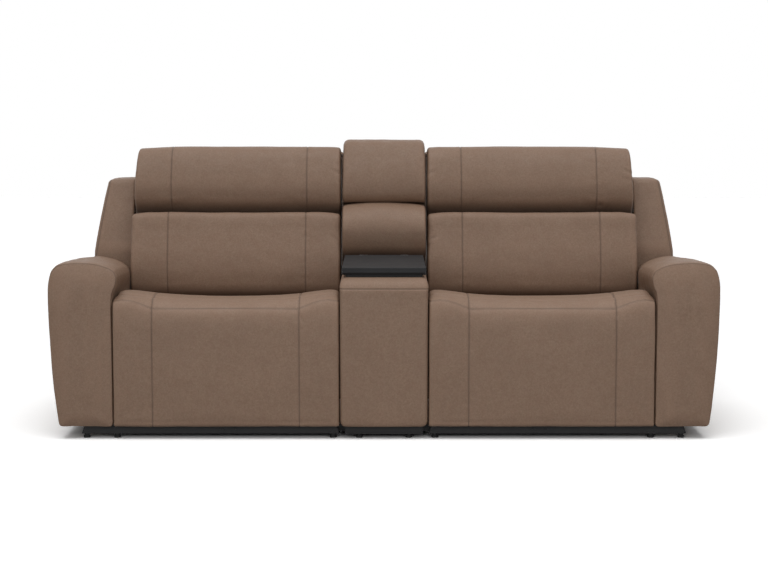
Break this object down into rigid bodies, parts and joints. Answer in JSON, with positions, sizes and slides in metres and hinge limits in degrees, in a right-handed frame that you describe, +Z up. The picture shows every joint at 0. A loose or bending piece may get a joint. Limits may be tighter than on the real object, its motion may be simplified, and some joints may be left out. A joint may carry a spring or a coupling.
{
  "type": "reclining loveseat",
  "caption": "Power reclining loveseat with padded arms, side wings, tilting head rests, folding leg rests and a storage console between the seats.",
  "frame": {"origin": "on the floor under the middle of the overall outline", "axes": "+Z up, the seats face -Y, +X to the right seen from the front"},
  "size_m": [2.276, 0.9626, 0.999],
  "materials": {
    "leather": "semi-matt pebbled brown leather",
    "timber": "planed softwood and plywood",
    "steel": "black powder coat",
    "zinc": "zinc plated",
    "wire": "drawn spring wire",
    "plastic": "fine grained dark grey",
    "plastic_light": "satin grey"
  },
  "bodies": {
    "base": {"left_arm_cover": "leather", "left_arm_frame": "timber", "left_base_frame": "steel", "left_switch_plate": "plastic", "right_arm_cover": "leather", "right_arm_frame": "timber", "right_base_frame": "steel", "right_switch_plate": "plastic", "glides": "steel", "rail_bolts": "steel", "console_case": "leather", "console_base": "steel", "console_hinge": "zinc", "console_bolster": "leather", "console_headrest": "leather"},
    "left_carriage": {"left_carriage": "steel", "left_seat_deck": "timber", "left_seat_springs": "wire", "left_seat_cushion": "leather", "left_legrest_drive": "zinc", "left_recline_drive": "zinc"},
    "left_drive": {"left_drive_arms": "steel"},
    "left_lift": {"left_lift_arms": "steel"},
    "left_guide": {"left_guide_links": "steel"},
    "left_stay": {"left_stay_links": "steel"},
    "left_legrest": {"left_legrest_bracket": "steel", "left_legrest_pad": "leather"},
    "left_legrest_nut": {"left_legrest_nut": "plastic_light"},
    "left_recline_nut": {"left_recline_nut": "plastic_light"},
    "left_back": {"left_back_frame": "timber", "left_back_cover": "leather", "left_lumbar_pad": "leather", "left_wing": "leather"},
    "left_headrest": {"left_headrest_frame": "timber", "left_headrest_pad": "leather"},
    "left_recline_rocker": {"left_recline_rocker": "plastic_light"},
    "left_headrest_rocker": {"left_headrest_rocker": "plastic_light"},
    "right_carriage": {"right_carriage": "steel", "right_seat_deck": "timber", "right_seat_springs": "wire", "right_seat_cushion": "leather", "right_legrest_drive": "zinc", "right_recline_drive": "zinc"},
    "right_drive": {"right_drive_arms": "steel"},
    "right_lift": {"right_lift_arms": "steel"},
    "right_guide": {"right_guide_links": "steel"},
    "right_stay": {"right_stay_links": "steel"},
    "right_legrest": {"right_legrest_bracket": "steel", "right_legrest_pad": "leather"},
    "right_legrest_nut": {"right_legrest_nut": "plastic_light"},
    "right_recline_nut": {"right_recline_nut": "plastic_light"},
    "right_back": {"right_back_frame": "timber", "right_back_cover": "leather", "right_lumbar_pad": "leather", "right_wing": "leather"},
    "right_headrest": {"right_headrest_frame": "timber", "right_headrest_pad": "leather"},
    "right_recline_rocker": {"right_recline_rocker": "plastic_light"},
    "right_headrest_rocker": {"right_headrest_rocker": "plastic_light"},
    "lid": {"console_lid": "plastic"}
  },
  "joints": [
    {"name": "left_wall_saver", "type": "slide", "parent": "base", "child": "left_carriage", "axis": [0, -1, 0], "range_m": [0, 0.075]},
    {"name": "left_recline", "type": "hinge", "parent": "left_carriage", "child": "left_back", "pos_m": [-0.5355, 0.2075, 0.33], "axis": [-1, 0, 0], "range_deg": [0, 35]},
    {"name": "left_legrest", "type": "hinge", "parent": "left_carriage", "child": "left_drive", "pos_m": [-0.5355, -0.1825, 0.24], "axis": [-1, 0, 0], "range_deg": [0, 46.12]},
    {"name": "left_lift", "type": "hinge", "parent": "left_drive", "child": "left_lift", "pos_m": [-0.5355, -0.3511, 0.10659], "axis": [1, 0, 0], "range_deg": [0, 98.94]},
    {"name": "left_legrest_tilt", "type": "hinge", "parent": "left_lift", "child": "left_legrest", "pos_m": [-0.5355, -0.3775, 0.325], "axis": [-1, 0, 0], "range_deg": [0, 142.82]},
    {"name": "left_guide", "type": "hinge", "parent": "left_carriage", "child": "left_guide", "pos_m": [-0.5355, -0.0171, 0.2846], "axis": [-1, 0, 0], "range_deg": [0, 32.17]},
    {"name": "left_stay", "type": "hinge", "parent": "left_drive", "child": "left_stay", "pos_m": [-0.5355, -0.3106, 0.08763], "axis": [1, 0, 0], "range_deg": [0, 93.99]},
    {"name": "left_legrest_nut", "type": "slide", "parent": "left_carriage", "child": "left_legrest_nut", "axis": [0, -1, 0], "range_m": [0, 0.08617]},
    {"name": "left_recline_nut", "type": "slide", "parent": "left_carriage", "child": "left_recline_nut", "axis": [0, -1, 0], "range_m": [0, 0.06616]},
    {"name": "left_headrest_tilt", "type": "hinge", "parent": "left_back", "child": "left_headrest", "pos_m": [-0.5355, 0.21764, 0.745], "axis": [1, 0, 0], "range_deg": [0, 30]},
    {"name": "left_recline_rocker", "type": "hinge", "parent": "base", "child": "left_recline_rocker", "pos_m": [-1.127, -0.1625, 0.45], "axis": [0, 1, 0], "range_deg": [-6, 6], "stiffness_Nm_per_rad": 0.3},
    {"name": "left_headrest_rocker", "type": "hinge", "parent": "base", "child": "left_headrest_rocker", "pos_m": [-1.127, -0.1225, 0.45], "axis": [0, 1, 0], "range_deg": [-6, 6], "stiffness_Nm_per_rad": 0.3},
    {"name": "right_wall_saver", "type": "slide", "parent": "base", "child": "right_carriage", "axis": [0, -1, 0], "range_m": [0, 0.075]},
    {"name": "right_recline", "type": "hinge", "parent": "right_carriage", "child": "right_back", "pos_m": [0.5355, 0.2075, 0.33], "axis": [-1, 0, 0], "range_deg": [0, 35]},
    {"name": "right_legrest", "type": "hinge", "parent": "right_carriage", "child": "right_drive", "pos_m": [0.5355, -0.1825, 0.24], "axis": [-1, 0, 0], "range_deg": [0, 46.12]},
    {"name": "right_lift", "type": "hinge", "parent": "right_drive", "child": "right_lift", "pos_m": [0.5355, -0.3511, 0.10659], "axis": [1, 0, 0], "range_deg": [0, 98.94]},
    {"name": "right_legrest_tilt", "type": "hinge", "parent": "right_lift", "child": "right_legrest", "pos_m": [0.5355, -0.3775, 0.325], "axis": [-1, 0, 0], "range_deg": [0, 142.82]},
    {"name": "right_guide", "type": "hinge", "parent": "right_carriage", "child": "right_guide", "pos_m": [0.5355, -0.0171, 0.2846], "axis": [-1, 0, 0], "range_deg": [0, 32.17]},
    {"name": "right_stay", "type": "hinge", "parent": "right_drive", "child": "right_stay", "pos_m": [0.5355, -0.3106, 0.08763], "axis": [1, 0, 0], "range_deg": [0, 93.99]},
    {"name": "right_legrest_nut", "type": "slide", "parent": "right_carriage", "child": "right_legrest_nut", "axis": [0, -1, 0], "range_m": [0, 0.08617]},
    {"name": "right_recline_nut", "type": "slide", "parent": "right_carriage", "child": "right_recline_nut", "axis": [0, -1, 0], "range_m": [0, 0.06616]},
    {"name": "right_headrest_tilt", "type": "hinge", "parent": "right_back", "child": "right_headrest", "pos_m": [0.5355, 0.21764, 0.745], "axis": [1, 0, 0], "range_deg": [0, 30]},
    {"name": "right_recline_rocker", "type": "hinge", "parent": "base", "child": "right_recline_rocker", "pos_m": [1.127, -0.1625, 0.45], "axis": [0, 1, 0], "range_deg": [-6, 6], "stiffness_Nm_per_rad": 0.3},
    {"name": "right_headrest_rocker", "type": "hinge", "parent": "base", "child": "right_headrest_rocker", "pos_m": [1.127, -0.1225, 0.45], "axis": [0, 1, 0], "range_deg": [-6, 6], "stiffness_Nm_per_rad": 0.3},
    {"name": "lid", "type": "hinge", "parent": "base", "child": "lid", "pos_m": [0, 0.0519, 0.581], "axis": [-1, 0, 0], "range_deg": [0, 75]}
  ],
  "couplings": [
    {"joint": "left_wall_saver", "follows": "left_recline", "m_per_rad": 0.12278},
    {"joint": "left_recline_nut", "follows": "left_recline", "m_per_rad": 0.1083},
    {"joint": "left_lift", "follows": "left_legrest", "ratio": 2.1453},
    {"joint": "left_legrest_tilt", "follows": "left_legrest", "ratio": 3.0967},
    {"joint": "left_guide", "follows": "left_legrest", "ratio": 0.69753},
    {"joint": "left_stay", "follows": "left_legrest", "ratio": 2.0379},
    {"joint": "left_legrest_nut", "follows": "left_legrest", "m_per_rad": 0.10705},
    {"joint": "right_wall_saver", "follows": "right_recline", "m_per_rad": 0.12278},
    {"joint": "right_recline_nut", "follows": "right_recline", "m_per_rad": 0.1083},
    {"joint": "right_lift", "follows": "right_legrest", "ratio": 2.1453},
    {"joint": "right_legrest_tilt", "follows": "right_legrest", "ratio": 3.0967},
    {"joint": "right_guide", "follows": "right_legrest", "ratio": 0.69753},
    {"joint": "right_stay", "follows": "right_legrest", "ratio": 2.0379},
    {"joint": "right_legrest_nut", "follows": "right_legrest", "m_per_rad": 0.10705}
  ]
}
